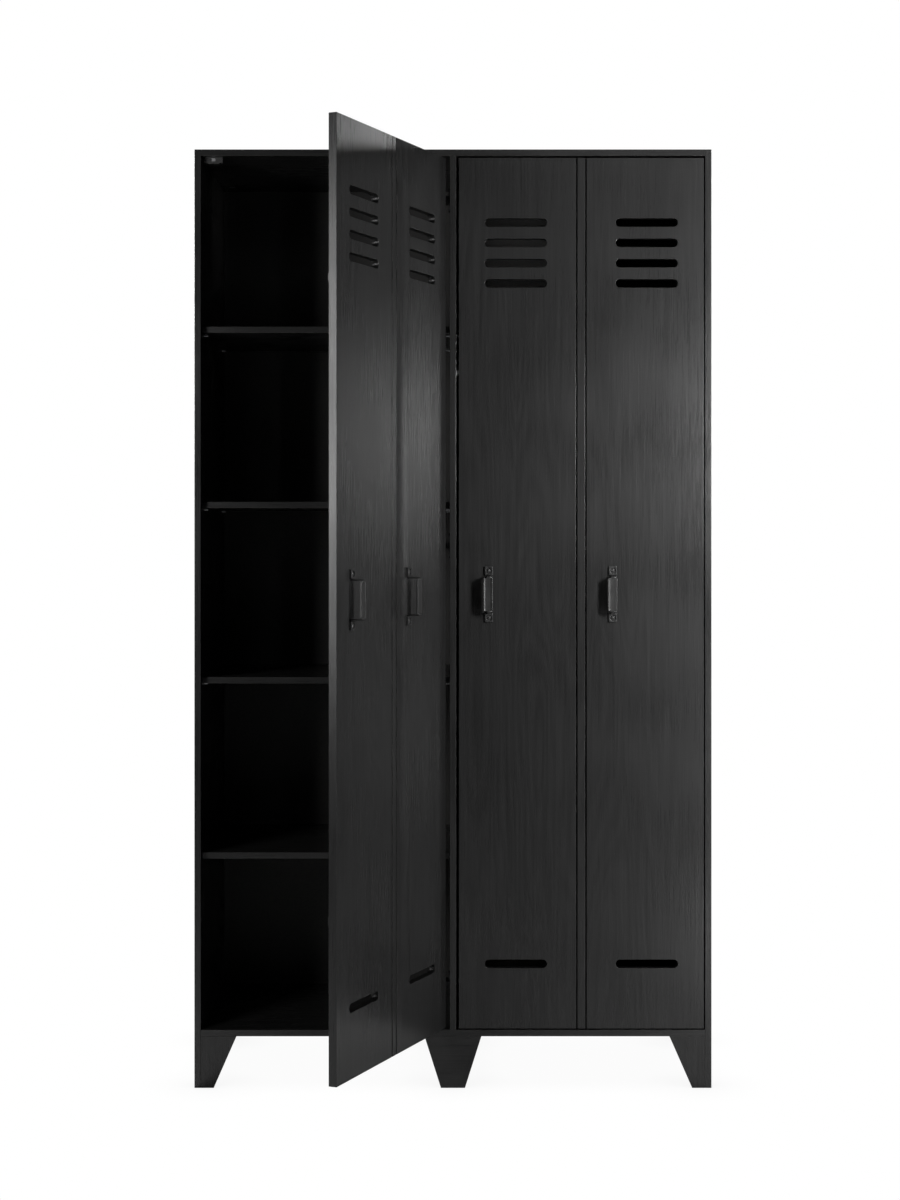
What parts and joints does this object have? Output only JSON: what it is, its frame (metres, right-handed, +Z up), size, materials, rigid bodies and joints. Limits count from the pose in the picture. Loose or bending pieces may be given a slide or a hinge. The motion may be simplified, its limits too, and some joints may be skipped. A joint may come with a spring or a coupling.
{
  "type": "locker cabinet",
  "caption": "Free-standing black wooden locker cabinet on tapered legs; two wide hinged doors, each grooved and slotted to look like a pair of narrow lockers.",
  "frame": {"origin": "on the floor, in the middle of the underside of the front centre leg", "axes": "+Z up, +X to the right seen from the front, +Y from the front into the cabinet"},
  "size_m": [1.05, 0.8892, 1.906],
  "materials": {
    "black_paint": "brushed satin black over visible pine grain",
    "back_hardboard": "thin board, black face",
    "bare_pine": "raw",
    "black_handle_steel": "black powder coat",
    "black_screws": "black oxide",
    "hinge_black_nickel": "black nickel plate",
    "rail_chrome": "bright chrome",
    "zinc_fasteners": "bright zinc",
    "black_plastic": "moulded",
    "magnet_steel": "ground"
  },
  "bodies": {
    "cabinet": {"side_panel_left": "black_paint", "side_panel_right": "black_paint", "centre_partition": "black_paint", "top_panel": "black_paint", "bottom_panel": "black_paint", "back_board_left": "back_hardboard", "back_board_right": "back_hardboard", "back_board_nails": "zinc_fasteners", "shelf_1": "black_paint", "shelf_2": "black_paint", "shelf_3": "black_paint", "shelf_4": "black_paint", "hat_shelf": "black_paint", "shelf_pins": "zinc_fasteners", "hanging_rail": "rail_chrome", "rail_flanges": "rail_chrome", "rail_flange_screws": "zinc_fasteners", "front_leg_left": "black_paint", "front_leg_centre": "black_paint", "front_leg_right": "black_paint", "rear_leg_left": "black_paint", "rear_leg_centre": "black_paint", "rear_leg_right": "black_paint", "centre_runner": "black_paint", "corner_blocks": "bare_pine", "corner_block_screws": "zinc_fasteners", "cam_locks": "zinc_fasteners", "cam_bolts": "zinc_fasteners", "dowels": "bare_pine", "catch_housings": "black_plastic", "catch_magnets": "magnet_steel", "catch_screws": "zinc_fasteners", "hinge_plates": "hinge_black_nickel", "hinge_plate_screws": "zinc_fasteners", "hinge_arms": "hinge_black_nickel", "hinge_arm_screws": "zinc_fasteners", "hinge_arm_pins": "hinge_black_nickel"},
    "left_links": {"hinge_links_left": "hinge_black_nickel"},
    "left_door": {"door_panel_left": "black_paint", "door_battens_left": "black_paint", "door_back_screws_left": "zinc_fasteners", "strike_plate_left": "hinge_black_nickel", "handle_left_outer": "black_handle_steel", "handle_left_inner": "black_handle_steel", "handle_screws_left": "black_screws", "hinge_cups_left": "hinge_black_nickel", "hinge_cup_pins_left": "hinge_black_nickel"},
    "right_links": {"hinge_links_right": "hinge_black_nickel"},
    "right_door": {"door_panel_right": "black_paint", "door_battens_right": "black_paint", "door_back_screws_right": "zinc_fasteners", "strike_plate_right": "hinge_black_nickel", "handle_right_outer": "black_handle_steel", "handle_right_inner": "black_handle_steel", "handle_screws_right": "black_screws", "hinge_cups_right": "hinge_black_nickel", "hinge_cup_pins_right": "hinge_black_nickel"}
  },
  "joints": [
    {"name": "left_links_swing", "type": "hinge", "parent": "cabinet", "child": "left_links", "pos_m": [-0.047, 0.014, 1], "axis": [0, 0, 1], "range_deg": [-15.62, 36.73]},
    {"name": "left_door_swing", "type": "hinge", "parent": "left_links", "child": "left_door", "pos_m": [-0.03223, -0.00635, 1], "axis": [0, 0, 1], "range_deg": [-103.39, 43.87]},
    {"name": "right_links_swing", "type": "hinge", "parent": "cabinet", "child": "right_links", "pos_m": [0.4715, 0.014, 1], "axis": [0, 0, 1], "range_deg": [-52.3, 0.05]},
    {"name": "right_door_swing", "type": "hinge", "parent": "right_links", "child": "right_door", "pos_m": [0.4955, 0.0065, 1], "axis": [0, 0, 1], "range_deg": [0, 147.25]}
  ],
  "couplings": [
    {"joint": "left_links_swing", "follows": "left_door_swing", "ratio": -0.35484},
    {"joint": "right_links_swing", "follows": "right_door_swing", "ratio": -0.35484}
  ]
}
